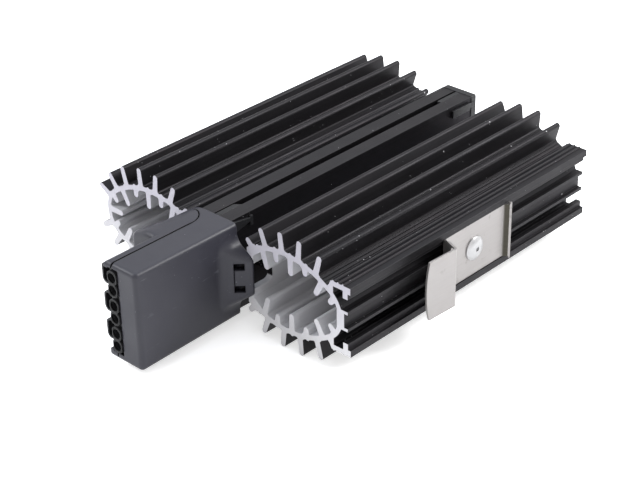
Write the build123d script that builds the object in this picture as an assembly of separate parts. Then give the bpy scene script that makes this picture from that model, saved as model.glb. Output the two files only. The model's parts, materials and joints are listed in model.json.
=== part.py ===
"""Enclosure heater: a black finned extrusion with a heating core between two
air tubes, a connection housing at one end and a spring clip for a 35 mm rail.

Millimetres. The model is drawn with x across the two tubes, y along them from
their front cut and z up, on the centre plane of the core. Every piece is then
moved so that the origin is the centre of the footprint at the lowest fins.
"""
import os
from math import cos, hypot, radians, sin, sqrt, tan

from build123d import *

# Extruded profile: core
profile_length = 130.0
core_half_width = 7.0
core_half_height = 17.9
duct_half_width = 2.1
duct_end_wall = 4.9
duct_half_height = core_half_height - duct_end_wall
groove_half_width = 1.4
groove_depth = 3.4
web_thickness = 5.0

# Extruded profile: tubes, as ovals of four arcs cut off by a straight wall
tube_centre_x = 32.5
tube_half_width = 25.2
tube_half_height = 15.8
tube_end_radius = 11.5
tube_wall = 1.8
inner_wall_x = 14.4
inner_wall = 2.4
roof_reach = 7.8
roof_drop = 2.8

# Fins: x of the foot from the tube's centre, lean in degrees, length
fin_root = 2.4
fin_tip = 2.1
fin_fillet = 0.8
outer_fins = ((-15.9, -42, 3.2), (-9.3, -20, 6.4), (-1.7, -6, 6.6), (5.8, 5, 6.9), (13.6, 15.5, 7.1))
end_fins = ((19.4, 36, 5.9), (23.6, 61, 5.7))
inner_fins = (
    (-10.7, 17, 6.9),
    (-4.6, 5, 3.4),
    (2.1, 0, 6.4),
    (8.7, 0, 2.9),
    (15.9, -28, 6.0),
    (21.2, -41, 3.0),
)
end_fin_length = 6.4
nubs = (-12.9, -4.9, 2.1, 9.3)
nub_radius = 0.9
nub_height = 0.4

# Rail side of the profile
seat_gap = 2.3
seat_x = tube_centre_x + tube_half_width + seat_gap
block_step = 1.2
block_x = seat_x + block_step
hook_top = 13.2
hook_arm = 1.9
hook_reach = 6.3
hook_neck_x = seat_x - hook_reach
lip_width = 2.1
lip_bottom = 8.5
recess_half = 10.7
rivet_wall = 3.2
rivet_wall_depth = 1.6
rivet_wall_x = seat_x - rivet_wall_depth
rivet_wall_half = 3.8
rib_thickness = 1.1
ridge_pitch = 2.1
ridge_radius = 0.4

# Notch in each tube's straight wall, beside the housing
notch_half = 5.0
notch_depth = 9.4
notch_corner = 2.0

# Play round pins and wires in their holes
hole_gap = 0.3

# Rail clip, from sheet
clip_thickness = 0.8
clip_side_gap = 0.2
clip_wide_half = 11.2
clip_step_back = 1.6
clip_step_front = 1.1
clip_middle_y = 64.6
seat_length = 32.7
flange_rise = 2.2
flange_lean = 46.0
leaf_rise = 7.8
leaf_lean = 22.0
tongue_length = 14.6
tongue_bow = 1.5
tongue_lean = 3.0
bend_radius = 0.9
relief_rise = 6.6
relief_x = seat_x + relief_rise
relief_z = 9.5
relief_radius = 1.0
relief_depth = 6.0

# Rivet
rivet_head_radius = 4.5
rivet_head_height = 1.6
rivet_head_rim = 0.4
rivet_shank_radius = 2.3
rivet_bulb_radius = 3.3
rivet_bulb_length = 3.5
mandrel_radius = 0.8
mandrel_recess = 0.6

# Connection housing
housing_front_y = -45.6
housing_lip = 0.3
housing_half_height = core_half_height + housing_lip
housing_drop = 1.0
housing_right_x = 9.9
housing_narrow_x = -5.6
housing_wide_x = -9.6
housing_step_y = -24.3
housing_wall = 1.8
housing_edge = 1.7
cavity_half_height = housing_half_height - housing_wall
opening_half_x = 8.1
seam_x = -1.6
seam_gap = 0.45
seam_tail_y = -1.5
seam_tail_radius = 8.0
opening_right_x = 1.2
opening_lip = 0.5

# Bulges of the housing beside each tube, with two latch windows
bulge_left_x = -16.5
bulge_left_front = 15.3
bulge_left_back = 12.2
bulge_left_corner = 2.5
bulge_left_shoulder = 12.0
bulge_left_edge = 2.0
bulge_right_x = 17.4
bulge_tip = 0.6
bulge_root_half = 12.2
bulge_tip_half = 7.0
bulge_round = 3.0
bulge_blend = 5.5
window_x0 = 12.9
window_x1 = 15.5
window_low = 3.0
window_high = 5.7
window_slit = 0.25
window_depth = 3.0

# Caps of the core
cap_clearance = 0.1
collar_plate = 2.0
collar_window_x = 2.4
collar_window_z = 10.2
collar_arm = 9.8
collar_arm_root_low = core_half_height - 5.0
collar_arm_root_high = core_half_height - 0.5
collar_arm_neck_low = core_half_height - 3.2
collar_arm_neck_high = core_half_height - 1.8
collar_pad = 1.2
collar_pad_low = core_half_height - 4.8
collar_pad_high = core_half_height - 1.2
collar_tongue = 11.0
collar_tongue_slant = 1.8
collar_tongue_x = -0.75
rear_plate = 2.7
rear_lip = 0.2
rear_arm = 11.9
rear_arm_gap = 1.5
rear_tongue = 11.5
rear_tongue_x = -0.4
arm_low = core_half_height - 4.7
arm_high = core_half_height - 1.7
arm_thickness = 0.9
arm_neck = 0.5
arm_inset = 0.6

# Heating pack in the duct
pack_front_y = 6.0
rear_plug = 5.0
pack_back_y = profile_length - rear_plug
sleeve_wall = 0.3
pack_half_width = duct_half_width - sleeve_wall
pack_play = 0.2
pack_half_height = duct_half_height - 2 * sleeve_wall - pack_play
electrode_thickness = 0.6
stone_count = 5
stone_gap = 0.2
frame_bar = 1.8
frame_rail = 2.0
stone_half_height = pack_half_height - frame_rail - stone_gap
plug_width = 6.3
plug_reach = 10.0
plug_z = 6.0

# Terminal block
poles = (1, 0, -1)
block_clearance = 0.2
block_half_height = cavity_half_height - block_clearance
pole_pitch = 2 * block_half_height / len(poles)
entry_pitch = 4.8
entry_x = -1.35
entry_radius = 1.6
funnel_radius = 1.8
funnel_depth = 1.6
rim_width = 4.3
rim_overlap = 0.2
rim_corner = 1.7
rim_height = 0.5
block_setback = 1.0
block_left_x = -3.6
block_right_x = 3.2
block_back_y = -27.0
chamber_front_y = -38.4
chamber_back_y = -29.0
chamber_half = 4.4
chamber_wall = 0.7
shaft_outer_x = -9.0
shaft_front_y = -43.6
shaft_length = 12.0
shaft_half = 3.9
shaft_rise = 1.0
shaft_wall = 0.7
shaft_depth = 9.0
shaft_corner = 2.0

# Contacts, springs and leads
contact_right_x = 1.2
bar_thickness = 1.0
tail_half = 1.5
tail_end_y = -23.5
spring_thickness = 0.4
spring_width = 3.4
spring_bend = 0.7
spring_front_gap = 1.4
lead_radius = 1.2
lead_lead_in = 3.6
crimp_radius = lead_radius + hole_gap
crimp_length = 6.0
crimp_shell = 0.5

# Earth connection on the core's front face
earth_x = 4.6
earth_height = 9.3
earth_z = earth_height - core_half_height
lug_radius = 2.9
lug_half = 2.0
lug_drop = 3.9
lug_foot = 5.0
lug_thickness = 0.8
screw_radius = 1.4
screw_length = 6.0
screw_head_radius = 2.5
screw_head_height = 1.6
slot_width = 0.6


def box(x0, x1, y0, y1, z0, z1):
    """A block between two corners."""
    return Pos((x0 + x1) / 2, (y0 + y1) / 2, (z0 + z1) / 2) * Box(x1 - x0, y1 - y0, z1 - z0)


def bar(half_x, y0, y1, half_z):
    """A block on the centre line of the core."""
    return box(-half_x, half_x, y0, y1, -half_z, half_z)


def at_y(section, y):
    """Place a section drawn in x and z at y."""
    return Plane.XZ.offset(-y) * section


def along_y(section, y0, y1):
    """Extrude a section drawn in x and z from y0 to y1."""
    return extrude(at_y(section, y0), amount=y0 - y1)


def along_z(outline, z0, z1):
    """Extrude an outline drawn in x and y from z0 to z1."""
    return extrude(Plane.XY.offset(z0) * outline, amount=z1 - z0)


def along_x(outline, x0, x1):
    """Extrude an outline drawn in y and z from x0 to x1."""
    return extrude(Plane.YZ.offset(x0) * outline, amount=x1 - x0)


def rod(radius, x, z, y0, y1):
    """A round bar along y."""
    return along_y(Pos(x, z) * Circle(radius), y0, y1)


def polygon(*points):
    """A filled outline of straight lines."""
    return make_face(Polyline(*points, close=True))


def group(shapes):
    """Separate solids kept together as one piece's file."""
    return Compound([solid for shape in shapes for solid in shape.solids()])


def outline(*curves):
    """A filled outline of lines and arcs that follow each other."""
    return make_face(Wire([edge for curve in curves for edge in curve.edges()]))


def round_corner(face, x, y, radius):
    """Round the corner of a face at a point."""
    return fillet(face.vertices().sort_by_distance((x, y, 0))[:1], radius)


class Oval:
    """An oval of four tangent arcs, centred on the origin."""

    def __init__(self, inset):
        self.half_width = tube_half_width - inset
        self.half_height = tube_half_height - inset
        self.end_radius = tube_end_radius - inset
        self.end_x = self.half_width - self.end_radius
        rise = self.end_x**2 + self.half_height**2 - self.end_radius**2
        self.flat_radius = rise / (2 * (self.half_height - self.end_radius))
        self.drop = self.flat_radius - self.half_height
        span = hypot(self.end_x, self.drop)
        self.tangent_x = self.end_x * self.flat_radius / span
        self.tangent_z = self.drop * self.flat_radius / span - self.drop

    def face(self):
        """The filled oval."""
        a, b = self.tangent_x, self.tangent_z
        return outline(
            ThreePointArc((-a, b), (0, self.half_height), (a, b)),
            ThreePointArc((a, b), (self.half_width, 0), (a, -b)),
            ThreePointArc((a, -b), (0, -self.half_height), (-a, -b)),
            ThreePointArc((-a, -b), (-self.half_width, 0), (-a, b)),
        )

    def height(self, x):
        """How high the oval stands at x."""
        if abs(x) <= self.tangent_x:
            return sqrt(self.flat_radius**2 - x**2) - self.drop
        return sqrt(self.end_radius**2 - (abs(x) - self.end_x) ** 2)


def fin(foot_x, foot_z, lean, length):
    """A tapering fin with a flared foot and a round tip, sunk into the wall that carries it."""
    root = fin_root / 2
    tip = fin_tip / 2
    flare = root + fin_fillet
    hollow = fin_fillet * (1 - sqrt(0.5))
    sink = tube_wall / 2
    section = outline(
        Polyline((-flare, 0), (-flare, -sink), (flare, -sink), (flare, 0)),
        ThreePointArc((flare, 0), (root + hollow, hollow), (root, fin_fillet)),
        Line((root, fin_fillet), (tip, length - tip)),
        ThreePointArc((tip, length - tip), (0, length), (-tip, length - tip)),
        Line((-tip, length - tip), (-root, fin_fillet)),
        ThreePointArc((-root, fin_fillet), (-root - hollow, hollow), (-flare, 0)),
    )
    return Pos(foot_x, foot_z) * Rot(0, 0, -lean) * section


def mirrored(faces):
    """The faces and their mirror images below the centre line."""
    return faces + [mirror(face, about=Plane.XZ) for face in faces]


def tube_section(has_rail_side):
    """One tube with its fins, centred on x = 0, straight wall to the left."""
    outer = Oval(0)
    inner = Oval(tube_wall)
    wall_x = inner_wall_x - tube_centre_x
    wall_top = outer.height(wall_x)
    roof_x = wall_x + roof_reach
    ring = outer.face() - inner.face()
    ring -= Pos(wall_x - tube_half_width, 0) * Rectangle(2 * tube_half_width, 4 * tube_half_height)
    ring += Pos(wall_x + inner_wall / 2, 0) * Rectangle(inner_wall, 2 * wall_top)
    roof = polygon(
        (wall_x, wall_top),
        (wall_x, wall_top - roof_drop),
        (wall_x + inner_wall, wall_top - roof_drop),
        (roof_x, inner.height(roof_x)),
        (roof_x, outer.height(roof_x) - tube_wall / 2),
    )
    rows = outer_fins if has_rail_side else outer_fins + end_fins
    fins = [fin(x, outer.height(x), lean, length) for x, lean, length in rows]
    fins += [fin(x, inner.height(x), 180 - lean, length) for x, lean, length in inner_fins]
    fins += [Pos(x, outer.height(x) + nub_height - nub_radius) * Circle(nub_radius) for x in nubs]
    ring += mirrored([roof] + fins)
    if not has_rail_side:
        ring += fin(inner.half_width, 0, -90, end_fin_length)
    return ring


def rail_hook():
    """One of the two hooks that hold the clip's edges, above the centre line."""
    lip_x = seat_x - lip_width
    arm_bottom = hook_top - hook_arm
    foot_x = hook_neck_x - 2 * hook_arm
    hook = polygon(
        (foot_x, arm_bottom - hook_arm),
        (foot_x + hook_arm, arm_bottom),
        (hook_neck_x - hook_arm / 2, hook_top),
        (block_x, hook_top),
        (block_x, recess_half),
        (seat_x, recess_half),
        (seat_x, lip_bottom),
        (lip_x, lip_bottom),
        (lip_x, arm_bottom),
        (hook_neck_x, arm_bottom),
        (hook_neck_x, arm_bottom - 2 * hook_arm),
    )
    ridges = [Pos(hook_neck_x + i * ridge_pitch, hook_top) * Circle(ridge_radius) for i in range(3)]
    return hook + ridges


def profile_section():
    """The whole extrusion's section, in x and z."""
    core = Rectangle(2 * core_half_width, 2 * core_half_height)
    core -= Rectangle(2 * duct_half_width, 2 * duct_half_height)
    groove_z = core_half_height - groove_depth / 2
    core -= mirrored([Pos(0, groove_z) * Rectangle(2 * groove_half_width, groove_depth)])
    web_start = core_half_width - 1
    web_end = inner_wall_x + inner_wall / 2
    web = Pos((web_start + web_end) / 2, 0) * Rectangle(web_end - web_start, web_thickness)
    right = Pos(tube_centre_x, 0) * tube_section(True)
    left = mirror(Pos(tube_centre_x, 0) * tube_section(False), about=Plane.YZ)
    wall = Pos(rivet_wall_x - rivet_wall / 2, 0) * Rectangle(rivet_wall, 2 * rivet_wall_half)
    rib_length = seat_x - rivet_wall_x + rivet_wall / 2
    rib = Rectangle(rib_length, rib_thickness)
    rib = Pos(seat_x - rib_length / 2, rivet_wall_half - rib_thickness / 2) * rib
    return core + [web, mirror(web, about=Plane.YZ), right, left, wall] + mirrored([rib, rail_hook()])


def rivet_hole(x0, x1):
    """The round hole for the rivet's shank."""
    return along_x(Pos(clip_middle_y, 0) * Circle(rivet_shank_radius + hole_gap), x0, x1)


def heat_sink_profile():
    """The extrusion, notched beside the housing and drilled for the rivet and the earth screw."""
    body = along_y(profile_section(), 0, profile_length)
    reach = inner_wall_x + inner_wall + 1
    notch = RectangleRounded(2 * notch_depth, 2 * notch_half, notch_corner)
    body -= along_x(notch, core_half_width, reach) + along_x(notch, -reach, -core_half_width)
    body -= rivet_hole(rivet_wall_x - 2 * rivet_wall, seat_x)
    body -= rod(screw_radius + hole_gap, earth_x, earth_z, -1, screw_length + 1)
    return body


def grip_arms(y0, y1, neck_y):
    """Four arms on the core's sides, on necks that lead to their cap."""
    arms = None
    for side_x in (1, -1):
        for side_z in (1, -1):
            x0, x1 = sorted((side_x * core_half_width, side_x * (core_half_width + arm_thickness)))
            n0, n1 = sorted((side_x * core_half_width, side_x * (core_half_width + arm_neck)))
            z0, z1 = sorted((side_z * arm_low, side_z * arm_high))
            arm = box(x0, x1, y0, y1, z0, z1)
            arm += box(n0, n1, min(y0, neck_y), max(y1, neck_y), z0 + arm_inset, z1 - arm_inset)
            arms = arm if arms is None else arms + arm
    return arms


def tongues(x0, y0, y1):
    """The two tongues that lie in the core's top and bottom grooves."""
    x1 = groove_half_width - cap_clearance
    low = core_half_height - groove_depth + cap_clearance
    return box(x0, x1, y0, y1, low, core_half_height) + box(x0, x1, y0, y1, -core_half_height, -low)


def front_collar():
    """The insulating collar between the housing and the core."""
    half_x = opening_half_x - block_clearance
    half_z = block_half_height
    collar = bar(half_x, -collar_plate, 0, half_z)
    collar -= bar(collar_window_x, -collar_plate - 1, 1, collar_window_z)
    pocket = lug_radius + cap_clearance
    tail = lug_drop + lug_thickness + cap_clearance
    collar -= box(earth_x - pocket, earth_x + pocket, -collar_plate - 1, 1, earth_z - tail, earth_z + pocket)
    right = groove_half_width - cap_clearance
    low = core_half_height - groove_depth + cap_clearance
    short = collar_tongue - collar_tongue_slant
    plan = polygon((collar_tongue_x, 0), (right, 0), (right, collar_tongue), (collar_tongue_x, short))
    tongue = along_z(plan, low, core_half_height)
    x1 = core_half_width + arm_thickness
    arm = along_x(collar_arm_outline(), core_half_width, x1)
    arm += along_x(collar_arm_outline(), -x1, -core_half_width)
    upper = tongue + arm
    return collar + upper + mirror(upper, about=Plane.XY)


def collar_arm_outline():
    """One tapering arm of the collar with the pad at its end, in y and z."""
    neck_y = collar_arm - collar_pad
    return polygon(
        (0, collar_arm_root_low),
        (neck_y, collar_arm_neck_low),
        (neck_y, collar_pad_low),
        (collar_arm, collar_pad_low),
        (collar_arm, collar_pad_high),
        (neck_y, collar_pad_high),
        (neck_y, collar_arm_neck_high),
        (0, collar_arm_root_high),
    )


def rear_cap():
    """The cap that closes the core's rear end."""
    end = profile_length
    lip = rear_lip
    plate = bar(core_half_width + lip, end, end + rear_plate, core_half_height + lip)
    plate = fillet(plate.edges().filter_by(Axis.Y), 0.8)
    plug = bar(duct_half_width - cap_clearance, pack_back_y, end + 1, duct_half_height - cap_clearance)
    cap = plate + plug + tongues(rear_tongue_x, end - rear_tongue, end + 1)
    return cap + grip_arms(end - rear_arm, end - rear_arm_gap, end + rear_plate / 2)


def seam_face():
    """The part of the plan that the cover shell takes, with the seam as its edge."""
    far = 4 * housing_right_x
    front = housing_front_y - far
    face = polygon((seam_x, front), (seam_x, seam_tail_y), (-far, seam_tail_y), (-far, front))
    return round_corner(face, seam_x, seam_tail_y, seam_tail_radius)


def left_bulge_section(tip_half, inset):
    """Section of the bulge beside the left tube, in x and z."""
    top = housing_half_height
    half = [(0, top), (housing_wide_x, top), (bulge_left_x, tip_half)]
    face = polygon(*half, *[(x, -z) for x, z in reversed(half)])
    if inset:
        return offset(face, -inset)
    for side in (1, -1):
        face = round_corner(face, housing_wide_x, side * top, bulge_left_shoulder)
        face = round_corner(face, bulge_left_x, side * tip_half, bulge_left_corner)
    return face


def left_bulge(y0, y1, inset):
    """The bulge beside the left tube, its shoulders falling towards the back."""
    front = at_y(left_bulge_section(bulge_left_front, inset), y0)
    back = at_y(left_bulge_section(bulge_left_back, inset), y1)
    return loft([front, back])


def right_bulge(pull, shrink, back_y):
    """The wedge beside the right tube: its front runs at 45 degrees and its sides slope."""
    root_x = housing_right_x - housing_wall
    tip_x = bulge_right_x - pull
    depth = bulge_right_x - root_x
    slope = (bulge_root_half - bulge_tip_half) / (bulge_right_x - housing_right_x)
    tip = bulge_tip_half - shrink
    root = tip + slope * depth
    root_y = -bulge_tip - depth
    plan = polygon((tip_x - depth, root_y), (tip_x, -bulge_tip), (tip_x, back_y), (tip_x - depth, back_y))
    side = polygon((tip_x - depth, root), (tip_x, tip), (tip_x, -tip), (tip_x - depth, -root))
    return along_z(plan, -root, root) & along_y(side, root_y - 1, back_y)


def add_right_bulge(body):
    """Join the right bulge to the housing and blend it into the side wall."""
    wedge = right_bulge(0, 0, 0)
    slanting = [e for e in wedge.edges() if e.length > bulge_tip * 4 and min(v.Y for v in e.vertices()) < -1]
    ridges = [e for e in slanting if max(v.X for v in e.vertices()) > bulge_right_x - 0.1]
    wedge = fillet(ridges, bulge_round)
    body += wedge
    on_wall = [e for e in body.edges() if abs(e.center().X - housing_right_x) < 0.01]
    foot = [e for e in on_wall if e.center().Y > -2 * bulge_root_half]
    foot = [e for e in foot if all(abs(v.X - housing_right_x) < 0.01 for v in e.vertices())]
    foot = [e for e in foot if abs(e.center().Z) < bulge_root_half + 0.1 and e.center().Y < -0.1]
    return fillet(foot, bulge_blend)


def latch_windows():
    """The two slanting windows in the right bulge, and the slit that joins them."""
    middle_x = (window_x0 + window_x1) / 2
    length = (window_x1 - window_x0) / cos(radians(45))
    place = Pos(middle_x, middle_x - bulge_right_x - bulge_tip, 0) * Rot(0, 0, 45)
    tall = window_high - window_low
    middle = (window_high + window_low) / 2
    slit = Pos((window_slit - length) / 2, 0, 0) * Box(window_slit, housing_wall, 2 * window_low)
    windows = [Pos(0, 0, side * middle) * Box(length, 2 * window_depth, tall) for side in (1, -1)]
    return place * (slit + windows)


def housing():
    """Both shells of the connection housing as one hollow body."""
    top = housing_half_height
    side = polygon((housing_front_y, top), (housing_front_y, -top - housing_drop), (0, -top), (0, top))
    body = along_x(side, housing_narrow_x, housing_right_x)
    upright = body.faces().sort_by(Axis.Y)[0].edges().filter_by(Axis.Z).sort_by(Axis.X)[0]
    rounded = body.edges() - body.faces().sort_by(Axis.Y)[-1].edges() - [upright]
    body = fillet([e for e in rounded if abs(e.center().Y) > 1], housing_edge)
    bulge = left_bulge(housing_step_y, 0, 0)
    face = bulge.faces().sort_by(Axis.Y)[0]
    bulge = fillet(face.edges().sort_by(Axis.X)[:-1], bulge_left_edge)
    body = add_right_bulge(body + bulge)
    half = cavity_half_height
    back = -housing_wall
    inner_right = housing_right_x - housing_wall
    inner_left = housing_narrow_x + housing_wall
    body -= box(inner_left, inner_right, housing_front_y + housing_wall, back, -half, half)
    body -= left_bulge(housing_step_y + housing_wall, back, housing_wall)
    body -= right_bulge(housing_wall * sqrt(2), housing_wall, back)
    body -= bar(opening_half_x, 2 * back, 1, half)
    return body - block_opening() - latch_windows()


def block_opening():
    """The open corner at the front left, where the terminal block shows."""
    half = cavity_half_height
    back = block_back_y + block_clearance
    left = block_left_x - block_clearance
    top = pole_pitch + shaft_rise + shaft_half + block_clearance
    opening = box(left, opening_right_x, housing_front_y - 1, back, -half, half)
    return opening + box(housing_narrow_x - 1, left + 1, housing_front_y - 1, back, opening_lip - half, top)


def main_shell(body):
    """The right shell, with the housing's back wall."""
    far = 4 * housing_right_x
    plan = Rectangle(2 * far, 4 * far) - seam_face()
    return body & along_z(plan, -far, far)


def cover_shell(body):
    """The left shell, apart from the right one by the seam."""
    far = 4 * housing_right_x
    return body & along_z(offset(seam_face(), -seam_gap), -far, far)


def pole_z(pole):
    """Height of a pole's middle: 1 for the upper, 0 for the middle, -1 for the lower."""
    return pole * pole_pitch


def entry_heights():
    """Heights of the six wire entries."""
    return [pole_z(pole) + side * entry_pitch / 2 for pole in poles for side in (1, -1)]


def wire_entry(z):
    """The funnel and the round hole of one entry."""
    mouth = housing_front_y - rim_height
    depth = funnel_depth + rim_height
    funnel = Pos(entry_x, mouth + depth / 2, z) * Rot(90, 0, 0) * Cone(entry_radius, funnel_radius, depth)
    return funnel + rod(entry_radius, entry_x, z, mouth + depth / 2, chamber_front_y + 1)


def driver_shaft(z):
    """One rounded opening for a screwdriver, beside the entries, and its hollow."""
    middle_z = z + shaft_rise
    width = block_left_x - shaft_outer_x + shaft_corner
    outer = RectangleRounded(width, 2 * shaft_half, shaft_corner)
    outer = Pos(shaft_outer_x + width / 2, middle_z) * outer
    inner_half = shaft_half - shaft_wall
    width = block_left_x - shaft_outer_x - shaft_wall
    bore = RectangleRounded(width, 2 * inner_half, shaft_corner - shaft_wall)
    bore = Pos(block_left_x - width / 2, middle_z) * bore
    hollow = along_y(bore, shaft_front_y - 1, shaft_front_y + shaft_depth)
    return along_y(outer, shaft_front_y, shaft_front_y + shaft_length), hollow


def terminal_block():
    """The block with three poles of two spring clamps each."""
    half = block_half_height
    body_front = housing_front_y + housing_wall + block_clearance
    plate_front = housing_front_y + block_setback
    block = box(block_left_x, opening_right_x - block_clearance, plate_front, body_front + 1, -half, half)
    block += box(block_left_x, block_right_x, body_front, block_back_y, -half, half)
    rim = RectangleRounded(rim_width, entry_pitch + rim_overlap, rim_corner)
    for z in entry_heights():
        block += along_y(Pos(entry_x, z) * rim, housing_front_y - rim_height, body_front)
    for pole in poles:
        block += driver_shaft(pole_z(pole))[0]
    for pole in poles:
        z = pole_z(pole)
        block -= driver_shaft(z)[1]
        left = block_left_x + chamber_wall
        low, high = z - chamber_half, z + chamber_half
        block -= box(left, contact_right_x, chamber_front_y, chamber_back_y, low, high)
        block -= contact(pole)
    for z in entry_heights():
        block -= wire_entry(z)
    return block


def contact(pole):
    """The copper bar of one pole, with the tail its lead is joined to."""
    z = pole_z(pole)
    left = contact_right_x - bar_thickness
    body = box(left, contact_right_x, chamber_front_y, chamber_back_y, z - chamber_half, z + chamber_half)
    return body + box(left, contact_right_x, chamber_back_y - 1, tail_end_y, z - tail_half, z + tail_half)


def clamp_springs():
    """Six bent leaf springs, one at each wire entry."""
    anchor_x = block_left_x + chamber_wall + spring_thickness / 2
    tip_x = contact_right_x - bar_thickness - spring_thickness
    bend_y = chamber_front_y + spring_front_gap
    path = FilletPolyline(
        (anchor_x, chamber_back_y - spring_bend),
        (anchor_x, bend_y),
        (anchor_x + 2 * spring_bend, bend_y),
        (tip_x, chamber_back_y - 2 * spring_bend),
        radius=spring_bend * 0.8,
    )
    leaf = trace(path, spring_thickness)
    springs = [along_z(leaf, z - spring_width / 2, z + spring_width / 2) for z in entry_heights()]
    return group(springs)


def electrode(side):
    """One electrode plate of the heating pack, with its flat plug to the front."""
    inner = pack_half_width - electrode_thickness
    x0, x1 = sorted((side * inner, side * pack_half_width))
    z = side * plug_z
    plate = box(x0, x1, pack_front_y + 1, pack_back_y - 1, -pack_half_height, pack_half_height)
    return plate + box(x0, x1, -plug_reach, pack_front_y + 2, z - plug_width / 2, z + plug_width / 2)


def stone_positions():
    """Middle of each heating element along y."""
    start = pack_front_y + 2
    room = pack_back_y - 2 - start
    pitch = (room - frame_bar) / stone_count
    return [start + frame_bar / 2 + (i + 0.5) * pitch for i in range(stone_count)], pitch - frame_bar


def ptc_elements():
    """The heating elements, in a row along the duct."""
    middles, cell = stone_positions()
    half = cell / 2 - stone_gap
    stone_x = pack_half_width - electrode_thickness
    return group([bar(stone_x, y - half, y + half, stone_half_height) for y in middles])


def ptc_frame():
    """The plastic ladder that spaces the heating elements."""
    middles, cell = stone_positions()
    stone_x = pack_half_width - electrode_thickness
    frame = bar(stone_x, pack_front_y + 2, pack_back_y - 2, pack_half_height)
    for y in middles:
        frame -= bar(stone_x + 1, y - cell / 2, y + cell / 2, stone_half_height + stone_gap)
    return frame


def insulating_sleeve():
    """The film sleeve round the heating pack, flat against the duct."""
    sleeve = bar(duct_half_width, pack_front_y, pack_back_y, pack_half_height + 2 * sleeve_wall)
    return sleeve - bar(pack_half_width, pack_front_y - 1, pack_back_y + 1, pack_half_height + sleeve_wall)


def lead(start, end, straight):
    """A wire that leaves a contact along y and ends straight in a crimp."""
    first = (start[0], start[1] + lead_lead_in, start[2])
    path = Polyline(start, first, (end[0], end[1] - straight, end[2]), end)
    section = at_y(Pos(start[0], start[2]) * Circle(lead_radius), start[1])
    return sweep(section, path=path, transition=Transition.ROUND)


def lead_start(pole):
    """Where a pole's lead begins, beside the tail of its contact."""
    return (contact_right_x + hole_gap + lead_radius, block_back_y + hole_gap, pole_z(pole))


def crimp(x, z, y0, y1):
    """A crimp barrel along y, closed at y1."""
    ring = Circle(crimp_radius + crimp_shell) - Circle(crimp_radius)
    barrel = along_y(Pos(x, z) * ring, y0, y1 - crimp_shell)
    return barrel + rod(crimp_radius + crimp_shell, x, z, y1 - crimp_shell, y1)


def receptacle(side):
    """A flat push-on receptacle over an electrode's plug, with its crimp."""
    x = side * (pack_half_width - electrode_thickness / 2)
    z = side * plug_z
    half_x = electrode_thickness / 2
    half_z = plug_width / 2
    wall = crimp_shell
    front = -plug_reach
    low, high = z - half_z, z + half_z
    body = box(x - half_x - wall, x + half_x + wall, front, -collar_plate - 1, low - wall, high + wall)
    body -= box(x - half_x, x + half_x, front - 1, 1, low, high)
    return body + crimp(x, z, front - crimp_length, front)


def electrode_lead(pole, side):
    """The wire from a pole's contact to the receptacle of an electrode."""
    x = side * (pack_half_width - electrode_thickness / 2)
    end_y = -plug_reach - crimp_shell - hole_gap
    return lead(lead_start(pole), (x, end_y, side * plug_z), crimp_length)


def earth_lug():
    """The bent ring terminal under the earth screw."""
    ring = Pos(earth_x, earth_z) * Circle(lug_radius)
    tail = Pos(earth_x, earth_z - lug_drop / 2) * Rectangle(2 * lug_half, lug_drop)
    face = ring + tail - Pos(earth_x, earth_z) * Circle(screw_radius + hole_gap)
    lug = along_y(face, -lug_thickness, 0)
    low = earth_z - lug_drop
    lug += box(earth_x - lug_half, earth_x + lug_half, -lug_foot, 0, low - lug_thickness, low)
    crimp_z = low - lug_thickness + crimp_radius + crimp_shell
    return lug + crimp(earth_x, crimp_z, -lug_foot - crimp_length, -lug_foot)


def earth_lead():
    """The wire from the lower contact to the earth lug."""
    z = earth_z - lug_drop - lug_thickness + crimp_radius + crimp_shell
    end = (earth_x, -lug_foot - crimp_shell - hole_gap, z)
    return lead(lead_start(-1), end, crimp_length)


def earth_screw():
    """The screw that holds the earth lug to the core's front face."""
    head_y = -lug_thickness - screw_head_height
    screw = rod(screw_head_radius, earth_x, earth_z, head_y, -lug_thickness)
    screw = chamfer(screw.faces().sort_by(Axis.Y)[0].edges(), screw_head_height / 3)
    screw += rod(screw_radius, earth_x, earth_z, -lug_thickness - 0.1, screw_length)
    for turn in (0, 90):
        slot = Rot(0, turn, 0) * Box(screw_head_radius, screw_head_height, slot_width)
        screw -= Pos(earth_x, head_y, earth_z) * slot
    return screw


def clip_path():
    """Middle line of the clip's sheet, in x and y."""
    sheet_x = seat_x + clip_thickness / 2
    back_y = clip_middle_y + seat_length / 2
    front_y = clip_middle_y - seat_length / 2
    crest_x = sheet_x + leaf_rise
    crest_y = front_y - leaf_rise * tan(radians(leaf_lean))
    return FilletPolyline(
        (sheet_x + flange_rise, back_y + flange_rise * tan(radians(flange_lean))),
        (sheet_x, back_y),
        (sheet_x, front_y),
        (crest_x, crest_y),
        (crest_x - tongue_length * sin(radians(tongue_lean)), crest_y - tongue_length),
        radius=bend_radius,
    )


def clip_outline():
    """The clip seen from its rail side, in y and z, with the bowed free edge of its tongue."""
    back = clip_middle_y + seat_length / 2 + clip_step_back
    front = clip_middle_y - seat_length / 2 - clip_step_front
    far = back + 2 * clip_wide_half
    half = recess_half - clip_side_gap
    tip = clip_middle_y - seat_length / 2 - leaf_rise * tan(radians(leaf_lean)) - tongue_length + tongue_bow
    wide = clip_wide_half
    face = polygon((tip, -half), (far, -half), (far, half), (tip, half))
    face += polygon((tip, -wide), (front, -wide), (front, wide), (tip, wide))
    face += polygon((back, -wide), (far, -wide), (far, wide), (back, wide))
    bow = ThreePointArc((tip, -wide), (tip - tongue_bow, 0), (tip, wide))
    return face + outline(bow, Line((tip, wide), (tip, -wide)))


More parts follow.
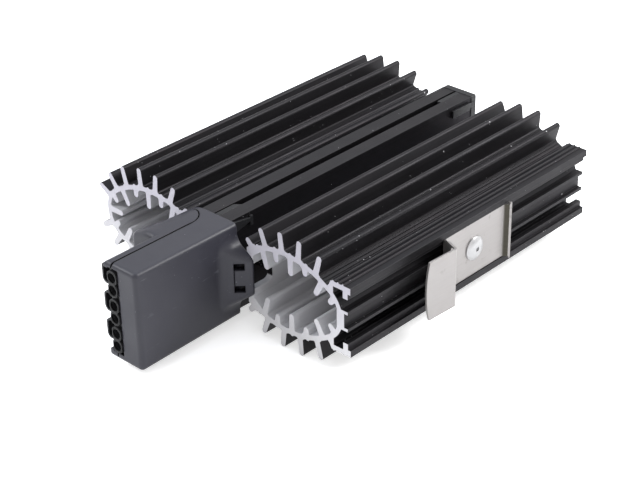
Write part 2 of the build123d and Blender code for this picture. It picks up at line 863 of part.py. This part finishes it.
def din_rail_clip():
    """The bent spring-steel clip that holds the rail."""
    sheet = along_z(trace(clip_path(), clip_thickness), -2 * clip_wide_half, 2 * clip_wide_half)
    clip = sheet & along_x(clip_outline(), seat_x - 1, seat_x + 2 * leaf_rise)
    clip -= rivet_hole(seat_x - 1, seat_x + 2)
    relief_y = clip_middle_y - seat_length / 2
    for z in (relief_z, -relief_z):
        clip -= rod(relief_radius, relief_x, z, relief_y - relief_depth, relief_y + 1)
    return clip


def clip_rivet():
    """The rivet through the clip and the profile's flat wall, turned about its axis."""
    face_x = seat_x + clip_thickness
    wall_inner = rivet_wall_x - rivet_wall
    half_section = outline(
        Polyline(
            (wall_inner - rivet_bulb_length, 0),
            (face_x + rivet_head_height - mandrel_recess, 0),
            (face_x + rivet_head_height - mandrel_recess, mandrel_radius),
            (face_x + rivet_head_height, mandrel_radius),
        ),
        ThreePointArc(
            (face_x + rivet_head_height, mandrel_radius),
            (face_x + 0.8 * rivet_head_height, 0.68 * rivet_head_radius),
            (face_x + rivet_head_rim, rivet_head_radius),
        ),
        Polyline(
            (face_x + rivet_head_rim, rivet_head_radius),
            (face_x, rivet_head_radius),
            (face_x, rivet_shank_radius),
            (wall_inner, rivet_shank_radius),
            (wall_inner, rivet_bulb_radius),
            (wall_inner - 0.7 * rivet_bulb_length, 0.85 * rivet_bulb_radius),
            (wall_inner - rivet_bulb_length, mandrel_radius),
            (wall_inner - rivet_bulb_length, 0),
        ),
    )
    return Pos(0, clip_middle_y, 0) * revolve(half_section, axis=Axis.X)


def make_pieces():
    """Every piece, by the name of its file."""
    body = housing()
    return {
        "heat_sink_profile": heat_sink_profile(),
        "front_collar": front_collar(),
        "rear_cap": rear_cap(),
        "main_shell": main_shell(body),
        "cover_shell": cover_shell(body),
        "terminal_block": terminal_block(),
        "contact_line": contact(1),
        "contact_neutral": contact(0),
        "contact_earth": contact(-1),
        "clamp_springs": clamp_springs(),
        "electrode_line": electrode(1),
        "electrode_neutral": electrode(-1),
        "ptc_elements": ptc_elements(),
        "ptc_frame": ptc_frame(),
        "insulating_sleeve": insulating_sleeve(),
        "receptacle_line": receptacle(1),
        "receptacle_neutral": receptacle(-1),
        "lead_line": electrode_lead(1, 1),
        "lead_neutral": electrode_lead(0, -1),
        "lead_earth": earth_lead(),
        "earth_lug": earth_lug(),
        "earth_screw": earth_screw(),
        "din_rail_clip": din_rail_clip(),
        "clip_rivet": clip_rivet(),
    }


def centre_on_footprint(pieces):
    """Move all pieces so that the origin is the bottom centre of the whole part."""
    boxes = [piece.bounding_box() for piece in pieces.values()]
    middle_x = (min(b.min.X for b in boxes) + max(b.max.X for b in boxes)) / 2
    middle_y = (min(b.min.Y for b in boxes) + max(b.max.Y for b in boxes)) / 2
    low_z = min(b.min.Z for b in boxes)
    shift = Pos(-middle_x, -middle_y, -low_z)
    return {name: shift * piece for name, piece in pieces.items()}


if __name__ == "__main__":
    os.makedirs("parts", exist_ok=True)
    for name, piece in centre_on_footprint(make_pieces()).items():
        export_step(piece, f"parts/{name}.step")
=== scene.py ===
"""Looks of the enclosure heater: materials, fine detail, floor, light and camera. Metres."""
import json
from math import tau

import bpy
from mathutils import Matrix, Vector


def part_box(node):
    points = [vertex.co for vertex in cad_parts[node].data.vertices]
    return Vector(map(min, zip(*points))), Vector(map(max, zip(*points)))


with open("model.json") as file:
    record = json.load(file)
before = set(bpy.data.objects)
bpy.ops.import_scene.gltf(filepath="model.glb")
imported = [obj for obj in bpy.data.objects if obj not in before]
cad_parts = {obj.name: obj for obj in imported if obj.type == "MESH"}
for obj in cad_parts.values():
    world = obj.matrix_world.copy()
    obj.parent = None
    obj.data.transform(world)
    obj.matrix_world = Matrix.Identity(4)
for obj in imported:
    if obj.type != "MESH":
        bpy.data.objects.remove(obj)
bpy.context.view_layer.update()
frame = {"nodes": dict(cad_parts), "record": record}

MM = 0.001

# The extrusion's ends and middle plane, and the core's middle, from which "across" is measured
PROFILE_LOW, PROFILE_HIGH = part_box("heat_sink_profile")
FRONT_Y = PROFILE_LOW.y
BACK_Y = PROFILE_HIGH.y
MIDDLE_Z = (PROFILE_LOW.z + PROFILE_HIGH.z) / 2
CORE_X = (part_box("rear_cap")[0].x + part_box("rear_cap")[1].x) / 2
CORE_HALF_WIDTH = 7.0 * MM

# The hollow of each tube, painted pale as painted light, and how far in that light reaches its
# palest
TUBE_X = 32.5 * MM
INSIDE_HALF_WIDTH = 23.9 * MM
INSIDE_HALF_HEIGHT = 14.5 * MM
INSIDE_FADE = 50 * MM

# The ridges and the fine grooves along the right tube, whose valleys get painted shade:
# the first one's place, their pitch, and the strip that holds them
RIDGE_X = 53.7 * MM
RIDGE_PITCH = 2.1 * MM
RIDGES_MIDDLE = RIDGE_X + RIDGE_PITCH
RIDGES_HALF_WIDTH = 3.0 * MM
GROOVE_X = 47.6 * MM
GROOVE_PITCH = 1.12 * MM
GROOVES_MIDDLE = GROOVE_X + 2.5 * GROOVE_PITCH
GROOVES_HALF_WIDTH = 2.8 * MM

# The cut ends: how far in the bare metal shows, and the middle of the saw's arcs on them
CUT_REACH = 0.3 * MM
SAW_CENTRE = (PROFILE_LOW.x - 60 * MM, 0, PROFILE_HIGH.z + 40 * MM)

# The seam between the housing's two shells, whose dark line of painted shade starts this far
# before the extrusion, and how far the painted shade in slots reaches
SEAM_X = -1.825 * MM
SEAM_HALF_WIDTH = 0.26 * MM
SEAM_START = 9.5 * MM
SLOT_REACH = 3.0 * MM

# The block's wire entries, a pair to each pole, and the raised rims round them, within which shade
# is painted
POLE_PITCH = 10.8 * MM
ENTRY_PITCH = 4.8 * MM
ENTRY_X = -1.35 * MM
RIM_HALF_WIDTH = 2.15 * MM
RIM_HALF_HEIGHT = 2.5 * MM
RIM_SQUARENESS = 4.0
RIM_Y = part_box("terminal_block")[0].y + 0.6 * MM

# The bend at the clip's flange, as distances from the flange's end
FLANGE_END_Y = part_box("din_rail_clip")[1].y
BEND_START = 1.1 * MM
BEND_END = 2.3 * MM

# Radii to which the edges are softened
PROFILE_SOFT = 0.05 * MM
HOUSING_SOFT = 0.8 * MM
BLOCK_SOFT = 0.25 * MM
METAL_SOFT = 0.12 * MM

# How far from an edge the surface is rubbed; on the block, how far its painted highlight reaches
PROFILE_RUBBED = 0.45 * MM
BLOCK_HIGHLIGHT_REACH = 0.12 * MM
CLIP_RUBBED = 0.25 * MM

# Depths of the fine relief
PLASTIC_GRAIN_DEPTH = 0.03 * MM
METAL_GRAIN_DEPTH = 0.02 * MM
STREAK_DEPTH = 0.06 * MM
SAW_DEPTH = 0.05 * MM

# How many drawn-out marks there are to the metre along each axis
STREAKS = (2600, 6, 2600)
DRAW_LINES = (1300, 3, 1300)
SAW_ARCS = (2800, 2800, 2800)
SHEEN_PATCHES = (260, 14, 260)
SCUFFS = (900, 70, 420)
CLIP_GRAIN = (80, 80, 1500)

# Colours are linear red, green and blue; a pair is mixed by the grain or clouds of its surface
WHITE = (1.0, 1.0, 1.0)
NEAR_BLACK = (0.002, 0.002, 0.002)
ANODISED = ((0.0035, 0.0033, 0.004), (0.0095, 0.009, 0.010))
ANODISED_SHEEN = ((1.0, 0.92, 1.0), (0.94, 0.93, 1.0))
ANODISED_WORN = (0.10, 0.098, 0.102)
ANODISED_DUST = (0.55, 0.55, 0.57)
TUBE_PAINTED_LIGHT_NEAR = ((0.51, 0.51, 0.53), (0.60, 0.60, 0.62))
TUBE_PAINTED_LIGHT_FAR = ((0.62, 0.62, 0.64), (0.72, 0.72, 0.74))
CUT_UPPER = ((0.40, 0.39, 0.435), (0.52, 0.51, 0.565))
CUT_LOWER_PAINTED_LIGHT = ((0.52, 0.515, 0.53), (0.66, 0.655, 0.67))
HOUSING = ((0.0225, 0.0224, 0.0305), (0.028, 0.0277, 0.037))
HOUSING_SCUFF = (0.15, 0.15, 0.17)
HOUSING_DUST = (0.38, 0.38, 0.40)
BLOCK = ((0.009, 0.009, 0.010), (0.016, 0.016, 0.018))
BLOCK_EDGE_HIGHLIGHT = (0.055, 0.055, 0.058)
BLOCK_MOUTH_SHADE = (0.006, 0.006, 0.006)
CLIP = ((0.288, 0.274, 0.269), (0.337, 0.322, 0.315))
CLIP_SMUDGE = (0.17, 0.16, 0.147)
CLIP_EDGE = (0.19, 0.18, 0.163)
CLIP_BEND = ((0.020, 0.018, 0.012), (0.045, 0.041, 0.029))
FLOOR = (0.93, 0.93, 0.93)

# Plain metals: two colours, roughness, grain per metre along each axis, and for the rivet
# also how metallic it is and how strong its grain is
METALS = {
    "copper": ((0.70, 0.36, 0.20), (0.78, 0.44, 0.27), 0.3, (900, 40, 900)),
    "spring_steel": ((0.5, 0.5, 0.51), (0.6, 0.6, 0.61), 0.28, (900, 60, 900)),
    "electrode_metal": ((0.7, 0.7, 0.71), (0.8, 0.8, 0.81), 0.3, (900, 30, 900)),
    "zinc_steel": ((0.66, 0.67, 0.69), (0.76, 0.77, 0.79), 0.3, (600, 600, 600)),
    "rivet_metal": ((0.39, 0.39, 0.395), (0.46, 0.46, 0.465), 0.34, (500, 500, 500), 0.7, 0.05),
}

# Plain plastics and ceramic: two colours, roughness, grain per metre and radius of the soft edges
PLASTICS = {
    "heating_ceramic": ((0.30, 0.28, 0.27), (0.40, 0.38, 0.36), 0.7, 1500.0, 0.1 * MM),
    "film": ((0.45, 0.24, 0.05), (0.55, 0.32, 0.08), 0.25, 800.0, 0.05 * MM),
    "frame_plastic": ((0.66, 0.64, 0.58), (0.74, 0.72, 0.67), 0.5, 1800.0, 0.1 * MM),
    "lead_brown": ((0.17, 0.07, 0.03), (0.22, 0.09, 0.04), 0.4, 900.0, 0.1 * MM),
    "lead_blue": ((0.03, 0.10, 0.36), (0.04, 0.13, 0.42), 0.4, 900.0, 0.1 * MM),
    "lead_green": ((0.10, 0.30, 0.04), (0.13, 0.36, 0.06), 0.4, 900.0, 0.1 * MM),
}

# How bright the surroundings are as light, how bright to look at, and the floor's own glow
WORLD_LIGHT = 0.7
WORLD_SEEN = 1.0
FLOOR_GLOW = 0.55
FLOOR_SIZE = 12.0

# Square lamps: place, size, power in watts and colour, all aimed at one point
LAMP_AIM = (0, 0, 0.02)
LAMPS = {
    "top": ((-0.25, 0.1, 0.9), 0.9, 4.1, (0.80, 0.87, 1.0)),
    "front": ((0.5, -0.9, 0.4), 0.7, 1.7, (1.0, 0.98, 0.97)),
    "side": ((1.0, -0.05, 0.3), 0.4, 0.4, (1.0, 0.97, 0.97)),
    "rear": ((0.49, 0.6, 0.59), 0.3, 8.2, WHITE),
    "back": ((0.0, 1.0, 0.15), 0.5, 1.6, WHITE),
    "fill": ((-0.6, -0.49, 0.59), 0.25, 4.0, (0.95, 0.97, 1.0)),
}

CAMERA_PLACE = (0.36607, -0.38401, 0.31908)
CAMERA_TURN = (1.0473032, 0.0150960, 0.7475747)
CAMERA_LENS = 95.17
CAMERA_SENSOR = 36.0


class Nodes:
    """A node tree, with the sums, masks and mixes that are built in it."""

    def __init__(self, tree):
        self.tree = tree

    def put(self, socket, value):
        """Link a socket, or set a plain value."""
        if isinstance(value, bpy.types.NodeSocket):
            self.tree.links.new(value, socket)
        elif isinstance(value, (tuple, list)) and len(value) == 3 and len(socket.default_value) == 4:
            socket.default_value = (*value, 1.0)
        else:
            socket.default_value = value

    def add(self, kind, *values, operation=None, **named):
        """Add a node, and fill its first inputs in their order and others by name."""
        node = self.tree.nodes.new("ShaderNode" + kind)
        if operation:
            node.operation = operation
        for socket, value in zip(node.inputs, values):
            self.put(socket, value)
        for name, value in named.items():
            self.put(node.inputs[name], value)
        return node

    def math(self, kind, *values):
        return self.add("Math", *values, operation=kind).outputs[0]

    def minus(self, a, b):
        return self.math("SUBTRACT", a, b)

    def size(self, value):
        """The value without its sign."""
        return self.math("ABSOLUTE", value)

    def inverse(self, mask):
        """Where the mask is off."""
        return self.minus(1.0, mask)

    def either(self, a, b):
        """Where one of the masks is on."""
        return self.math("MAXIMUM", a, b)

    def both(self, *masks):
        """Where all the masks are on; a plain number weakens them."""
        product = masks[0]
        for mask in masks[1:]:
            product = self.math("MULTIPLY", product, mask)
        return product

    def ramp(self, value, low, high, to_low=0.0, to_high=1.0):
        """The value's way from low to high, drawn onto another range and held within it."""
        node = self.add("MapRange", value, low, high, to_low, to_high)
        node.clamp = True
        return node.outputs[0]

    def below(self, value, low, high):
        """On up to the low value, and off from the high one."""
        return self.ramp(value, low, high, 1.0, 0.0)

    def within(self, value, middle, reach, fade):
        """Where the value lies within reach of the middle, and fading out past that."""
        return self.below(self.size(self.minus(value, middle)), reach, reach + fade)

    def wave(self, value, start, pitch):
        """A wave of the given pitch, 1 at the start and -1 half a pitch on."""
        return self.math("COSINE", self.math("DIVIDE", self.minus(value, start), pitch / tau))

    def mix(self, factor, a, b):
        """Colour a where the factor is 0, and colour b where it is 1."""
        node = self.tree.nodes.new("ShaderNodeMix")
        node.data_type = "RGBA"
        self.put(node.inputs["Factor"], factor)
        self.put(node.inputs[6], a)
        self.put(node.inputs[7], b)
        return node.outputs[2]

    def seen(self):
        """On for rays from the camera, straight, mirrored or through something clear."""
        rays = self.add("LightPath").outputs
        mirrored = self.either(rays["Is Camera Ray"], rays["Is Glossy Ray"])
        return self.either(mirrored, rays["Is Transmission Ray"])


class Finish(Nodes):
    """One material's nodes, with its shader and the textures that feed it."""

    def __init__(self, name):
        self.material = bpy.data.materials.new(name)
        self.material.use_nodes = True
        super().__init__(self.material.node_tree)
        self.shader = self.tree.nodes["Principled BSDF"]
        self.coords = self.add("TexCoord").outputs["Object"]

    def set(self, **values):
        """Link or set the shader's inputs, named with _ for a space."""
        for name, value in values.items():
            self.put(self.shader.inputs[name.replace("_", " ")], value)

    def parts(self, vector):
        """The vector's three parts."""
        return tuple(self.add("SeparateXYZ", vector).outputs)

    def normal(self):
        return self.add("NewGeometry").outputs["True Normal"]

    def soft_edges(self, radius):
        """The normal as if the edges were rounded by the radius."""
        node = self.add("Bevel", Radius=radius)
        node.samples = 8
        return node.outputs[0]

    def edges(self, radius, low=0.01, high=0.25):
        """Where an outer or inner edge lies within the radius."""
        normals = (self.soft_edges(radius), self.normal())
        agreement = self.add("VectorMath", *normals, operation="DOT_PRODUCT").outputs["Value"]
        return self.ramp(self.inverse(agreement), low, high)

    def crevice_shade(self, reach, low, high):
        """Where the surface lies in a slot or hole, as a mask for painted shade."""
        node = self.add("AmbientOcclusion", Distance=reach)
        node.samples = 12
        return self.below(node.outputs["AO"], low, high)

    def scaled(self, vector, scale):
        return self.add("VectorMath", vector, scale, operation="MULTIPLY").outputs[0]

    def distance(self, point, keep):
        """How far the surface is from a point, along the kept axes."""
        ends = (self.scaled(self.coords, keep), tuple(a * b for a, b in zip(point, keep)))
        return self.add("VectorMath", *ends, operation="DISTANCE").outputs["Value"]

    def noise(self, scale, detail=3.0, roughness=0.5, vector=None):
        """Clouds, so many to the metre."""
        place = self.coords if vector is None else vector
        node = self.add("TexNoise", Vector=place, Scale=scale, Detail=detail, Roughness=roughness)
        return node.outputs["Fac"]

    def drawn(self, scale, detail=3.0, roughness=0.5, vector=None):
        """Marks drawn out along an axis, so many to the metre along each one."""
        place = self.coords if vector is None else vector
        return self.noise(1.0, detail, roughness, self.scaled(place, scale))

    def dust(self, scale, size, patches):
        """Small pale specks in some patches."""
        spots = self.add("TexVoronoi", Vector=self.coords, Scale=scale).outputs["Distance"]
        speck = self.below(spots, size, size * 1.4)
        return self.both(speck, self.ramp(self.noise(patches, 2.0), 0.56, 0.62))

    def bump(self, height, strength, distance, normal):
        node = self.add("Bump", Strength=strength, Distance=distance, Height=height, Normal=normal)
        return node.outputs[0]


def grooves_and_shade_mask(m, across, nz):
    """The fine grooves and the valleys between the ridges, on what faces up or down, as a mask for
    their relief and for painted shade.
    """
    grooves = m.both(
        m.ramp(m.wave(across, GROOVE_X, GROOVE_PITCH), 0.0, 0.8),
        m.within(across, GROOVES_MIDDLE, GROOVES_HALF_WIDTH, fade=0.2 * MM),
    )
    valleys = m.both(
        m.below(m.wave(across, RIDGE_X, RIDGE_PITCH), -0.8, -0.2),
        m.within(across, RIDGES_MIDDLE, RIDGES_HALF_WIDTH, fade=0.3 * MM),
    )
    return m.both(m.either(grooves, valleys), m.ramp(m.size(nz), 0.4, 0.6))


def tube_hollow(m, across, height):
    """Where the surface lies within one of the two oval hollows."""
    u = m.math("DIVIDE", m.minus(m.size(across), TUBE_X), INSIDE_HALF_WIDTH)
    v = m.math("DIVIDE", height, INSIDE_HALF_HEIGHT)
    radial = m.math("ADD", m.math("MULTIPLY", u, u), m.math("MULTIPLY", v, v))
    return m.below(radial, 0.97, 1.0)


def core_side_shade(m, across, nx):
    """The core's outer side walls, which get painted shade."""
    near_core = m.within(across, 0.0, CORE_HALF_WIDTH + 0.1 * MM, fade=0.1 * MM)
    return m.both(near_core, m.ramp(m.size(nx), 0.8, 0.9))


def cut_ends(m, y, endwise):
    """The two sawn ends, but no step that lies deeper."""
    from_end = m.math("MINIMUM", m.minus(y, FRONT_Y), m.minus(BACK_Y, y))
    return m.both(endwise, m.below(from_end, CUT_REACH, CUT_REACH + 0.2 * MM))


def anodised_skin(m, streaks, draws, worn, grooves_and_shade):
    """Black with fine streaks, pale worn edges, painted shade in the grooves and specks of dust."""
    skin = m.mix(streaks, *ANODISED)
    skin = m.mix(m.both(draws, 0.5), skin, NEAR_BLACK)
    skin = m.mix(worn, skin, ANODISED_WORN)
    # Painted shade: the grooves and valleys darkened towards black
    skin = m.mix(m.both(grooves_and_shade, 0.8), skin, NEAR_BLACK)
    specks = m.either(m.dust(520.0, 0.06, 140.0), m.dust(230.0, 0.052, 90.0))
    return m.mix(m.both(specks, 0.9), skin, ANODISED_DUST)


def hollow_painted_light_colour(m, streaks, y):
    """Painted light within the tubes: pale metal, the paler the deeper in the tube it lies."""
    depth = m.ramp(m.minus(y, FRONT_Y), 0.0, INSIDE_FADE)
    return m.mix(depth, m.mix(streaks, *TUBE_PAINTED_LIGHT_NEAR), m.mix(streaks, *TUBE_PAINTED_LIGHT_FAR))


def cut_skin(m, saw, height):
    """Bare metal with the saw's marks, darker and bluer on the upper fins; the lower fins are
    painted paler as painted light against the shade that falls there.
    """
    reach = 0.8 * INSIDE_HALF_HEIGHT
    rise = m.ramp(height, -reach, reach)
    return m.mix(rise, m.mix(saw, *CUT_LOWER_PAINTED_LIGHT), m.mix(saw, *CUT_UPPER))


def profile_material():
    """Black anodising outside with painted shade in its grooves and on the core's sides, painted
    light within the tubes, bright where the saw cut.
    """
    m = Finish("black_anodised")
    x, y, z = m.parts(m.coords)
    nx, ny, nz = m.parts(m.normal())
    across = m.minus(x, CORE_X)
    height = m.minus(z, MIDDLE_Z)
    endwise = m.ramp(m.size(ny), 0.9, 0.95)
    cut = cut_ends(m, y, endwise)
    painted_light_hollow = m.both(tube_hollow(m, across, height), m.inverse(endwise))
    grooves_and_shade = grooves_and_shade_mask(m, across, nz)

    streaks = m.drawn(STREAKS, 4.0, 0.6)
    draws = m.ramp(m.drawn(DRAW_LINES, 2.0), 0.54, 0.62)
    saw = m.drawn(SAW_ARCS, 3.0, 0.7, m.distance(SAW_CENTRE, keep=(1, 0, 1)))
    cloud = m.noise(60.0)
    worn = m.both(m.edges(PROFILE_RUBBED, 0.01, 0.12), m.ramp(cloud, 0.35, 0.65, 0.15, 0.35))

    # Painted light: the tubes' hollows are coloured pale
    skin = m.mix(painted_light_hollow, anodised_skin(m, streaks, draws, worn, grooves_and_shade), hollow_painted_light_colour(m, streaks, y))
    m.set(Base_Color=m.mix(cut, skin, cut_skin(m, saw, height)))

    # Painted shade: near black that counts as metal mirrors almost nothing, so the grooves, valleys
    # and the core's sides stay dark
    painted_shade = m.either(m.both(grooves_and_shade, 0.75), m.both(core_side_shade(m, across, nx), 0.5))
    bare = m.both(m.either(cut, painted_light_hollow), 0.2)
    m.set(Metallic=m.either(bare, m.both(painted_shade, m.inverse(cut))), Specular_IOR_Level=0.24)
    patches = m.ramp(m.drawn(SHEEN_PATCHES), 0.35, 0.65)
    m.set(Specular_Tint=m.mix(patches, *ANODISED_SHEEN))
    m.set(Roughness=m.math("MULTIPLY_ADD", worn, 0.5, m.ramp(cloud, 0.3, 0.7, 0.46, 0.58)))

    relief = m.minus(m.math("ADD", streaks, m.both(draws, 0.3)), m.both(grooves_and_shade, 1.5))
    skin_bump = m.bump(relief, 0.35, STREAK_DEPTH, m.soft_edges(PROFILE_SOFT))
    m.set(Normal=m.bump(m.both(cut, saw), 0.3, SAW_DEPTH, skin_bump))
    return m.material


def plastic(name, low, high, roughness, grain, edge):
    """Moulded plastic with a fine grain, faint clouds and softened edges."""
    m = Finish(name)
    m.set(Base_Color=m.mix(m.noise(45.0, 4.0, 0.55), low, high))
    m.set(Roughness=m.ramp(m.noise(120.0), 0.3, 0.7, roughness - 0.05, roughness + 0.07))
    m.set(Normal=m.bump(m.noise(grain, 2.0), 0.25, PLASTIC_GRAIN_DEPTH, m.soft_edges(edge)))
    return m.material


def housing_material():
    """Dark blue-grey plastic with a spark-eroded grain, faint scuffs, specks of dust and painted
    shade in its slots and seam.
    """
    m = Finish("housing_plastic")
    x, y, _ = m.parts(m.coords)
    skin = m.mix(m.noise(38.0, 4.0, 0.55), *HOUSING)
    scuff = m.ramp(m.drawn(SCUFFS, 3.0, 0.6), 0.66, 0.72)
    rubbed = m.ramp(m.noise(55.0, 2.0), 0.52, 0.64)
    skin = m.mix(m.both(scuff, rubbed, 0.5), skin, HOUSING_SCUFF)
    skin = m.mix(m.both(m.dust(430.0, 0.045, 110.0), 0.5), skin, HOUSING_DUST)
    # Painted shade in the seam between the shells and in the slots and windows
    in_seam = m.both(
        m.within(m.minus(x, CORE_X), SEAM_X, SEAM_HALF_WIDTH, fade=0.16 * MM),
        m.ramp(m.minus(FRONT_Y, y), SEAM_START, SEAM_START + 0.1 * MM),
    )
    painted_shade = m.either(m.crevice_shade(SLOT_REACH, 0.3, 0.6), in_seam)
    skin = m.mix(painted_shade, skin, NEAR_BLACK)
    m.set(Base_Color=skin, Metallic=m.both(painted_shade, 0.9), Specular_IOR_Level=0.34)
    m.set(Roughness=m.ramp(m.noise(120.0), 0.3, 0.7, 0.38, 0.48))
    soft = m.soft_edges(HOUSING_SOFT)
    m.set(Normal=m.bump(m.noise(3000.0, 2.0), 0.3, PLASTIC_GRAIN_DEPTH, soft))
    return m.material


def entry_mouths(m, x, y, z):
    """Where the surface lies within the rim of a wire entry, in the block's front, to be painted
    dark as shade.
    """
    pole = m.math("WRAP", m.minus(z, MIDDLE_Z), POLE_PITCH / 2, -POLE_PITCH / 2)
    rise = m.minus(m.size(pole), ENTRY_PITCH / 2)
    beside = m.minus(x, CORE_X + ENTRY_X)
    wide = m.math("POWER", m.size(m.math("DIVIDE", beside, RIM_HALF_WIDTH)), RIM_SQUARENESS)
    tall = m.math("POWER", m.size(m.math("DIVIDE", rise, RIM_HALF_HEIGHT)), RIM_SQUARENESS)
    in_rim = m.below(m.math("ADD", wide, tall), 0.5, 0.7)
    return m.both(m.below(y, RIM_Y - 0.1 * MM, RIM_Y), in_rim)


def block_material():
    """Black plastic with painted highlight on its raised rims and edges and painted shade in its
    wire entries.
    """
    m = Finish("black_plastic")
    mouth_shade = entry_mouths(m, *m.parts(m.coords))
    skin = m.mix(m.noise(90.0, 4.0, 0.55), *BLOCK)
    # Painted highlight along the edges and rims
    skin = m.mix(m.both(m.edges(BLOCK_HIGHLIGHT_REACH), m.inverse(mouth_shade), 0.5), skin, BLOCK_EDGE_HIGHLIGHT)
    # Painted shade in the wire entries
    skin = m.mix(mouth_shade, skin, BLOCK_MOUTH_SHADE)
    m.set(Base_Color=skin, Metallic=m.both(mouth_shade, 0.7), Specular_IOR_Level=0.25)
    m.set(Roughness=m.ramp(m.noise(150.0), 0.3, 0.7, 0.38, 0.5))
    soft = m.soft_edges(BLOCK_SOFT)
    m.set(Normal=m.bump(m.noise(2500.0, 2.0), 0.25, PLASTIC_GRAIN_DEPTH, soft))
    return m.material


def metal(name, low, high, roughness, scale, metallic=1.0, bump=0.15):
    """Rolled or turned metal, its marks drawn out along one axis."""
    m = Finish(name)
    grain = m.drawn(scale, 4.0, 0.6)
    m.set(Base_Color=m.mix(m.noise(70.0), low, high), Metallic=metallic)
    m.set(Roughness=m.ramp(grain, 0.3, 0.7, roughness - 0.06, roughness + 0.08))
    m.set(Normal=m.bump(grain, bump, METAL_GRAIN_DEPTH, m.soft_edges(METAL_SOFT)))
    return m.material


def clip_material():
    """Spring steel sheet with a rolled grain, smudges and a darker bend."""
    m = Finish("clip_steel")
    _, y, _ = m.parts(m.coords)
    _, ny, _ = m.parts(m.normal())
    grain = m.drawn(CLIP_GRAIN, 4.0, 0.6)
    skin = m.mix(m.noise(75.0, 4.0, 0.55), *CLIP)
    stain = m.ramp(m.noise(210.0, 4.0, 0.7), 0.60, 0.68)
    smudge = m.both(stain, m.ramp(m.noise(60.0, 2.0), 0.45, 0.55))
    skin = m.mix(m.both(smudge, 0.45), skin, CLIP_SMUDGE)
    skin = m.mix(m.both(m.edges(CLIP_RUBBED), 0.5), skin, CLIP_EDGE)
    to_end = m.minus(FLANGE_END_Y, y)
    bent = m.both(
        m.below(to_end, BEND_END, BEND_END + 0.9 * MM),
        m.ramp(to_end, BEND_START, BEND_START + 0.1 * MM),
        m.below(ny, -0.35, -0.1),
    )
    skin = m.mix(m.both(bent, 0.96), skin, m.mix(grain, *CLIP_BEND))
    m.set(Base_Color=skin, Metallic=0.8)
    m.set(Roughness=m.ramp(grain, 0.3, 0.7, 0.30, 0.44))
    m.set(Normal=m.bump(grain, 0.15, METAL_GRAIN_DEPTH, m.soft_edges(METAL_SOFT)))
    return m.material


def dress_nodes():
    """Give each piece the material of its slot."""
    materials = {
        "black_anodised": profile_material(),
        "black_plastic": block_material(),
        "housing_plastic": housing_material(),
        "clip_steel": clip_material(),
    }
    for slot, finish in METALS.items():
        materials[slot] = metal(slot, *finish)
    for slot, finish in PLASTICS.items():
        materials[slot] = plastic(slot, *finish)
    slot_of = {part["node"]: part["material_slot"] for part in frame["record"]["subparts"]}
    for name, obj in frame["nodes"].items():
        obj.data.materials.clear()
        obj.data.materials.append(materials[slot_of[name]])


def add_floor():
    """A plain pale floor that keeps the soft shadow."""
    bpy.ops.mesh.primitive_plane_add(size=FLOOR_SIZE, location=(0, 0, 0))
    floor = bpy.context.object
    floor.name = "floor"
    m = Finish("floor")
    m.set(Base_Color=FLOOR, Roughness=0.9, Specular_IOR_Level=0.1)
    m.set(Emission_Color=WHITE, Emission_Strength=m.both(m.seen(), FLOOR_GLOW))
    floor.data.materials.append(m.material)


def add_world():
    """Soft white surroundings, pure white where the camera looks past everything."""
    world = bpy.data.worlds.new("world")
    bpy.context.scene.world = world
    world.use_nodes = True
    sky = Nodes(world.node_tree)
    background = sky.tree.nodes["Background"]
    sky.put(background.inputs["Strength"], sky.ramp(sky.seen(), 0.0, 1.0, WORLD_LIGHT, WORLD_SEEN))
    sky.put(background.inputs["Color"], WHITE)


def add_lamp(name, place, size, power, colour):
    """A square area lamp aimed at the part."""
    data = bpy.data.lights.new(name, "AREA")
    data.shape = "SQUARE"
    data.size = size
    data.energy = power
    data.color = colour
    lamp = bpy.data.objects.new(name, data)
    bpy.context.collection.objects.link(lamp)
    lamp.location = place
    lamp.rotation_euler = (Vector(LAMP_AIM) - Vector(place)).to_track_quat("-Z", "Y").to_euler()


def add_camera():
    """The camera, at the angle of the photograph."""
    data = bpy.data.cameras.new("camera")
    data.sensor_width = CAMERA_SENSOR
    data.lens = CAMERA_LENS
    camera = bpy.data.objects.new("camera", data)
    bpy.context.collection.objects.link(camera)
    camera.location = CAMERA_PLACE
    camera.rotation_euler = CAMERA_TURN
    bpy.context.scene.camera = camera


dress_nodes()
add_floor()
add_world()
for lamp_name, lamp in LAMPS.items():
    add_lamp(lamp_name, *lamp)
add_camera()
bpy.context.scene.view_settings.view_transform = "Standard"
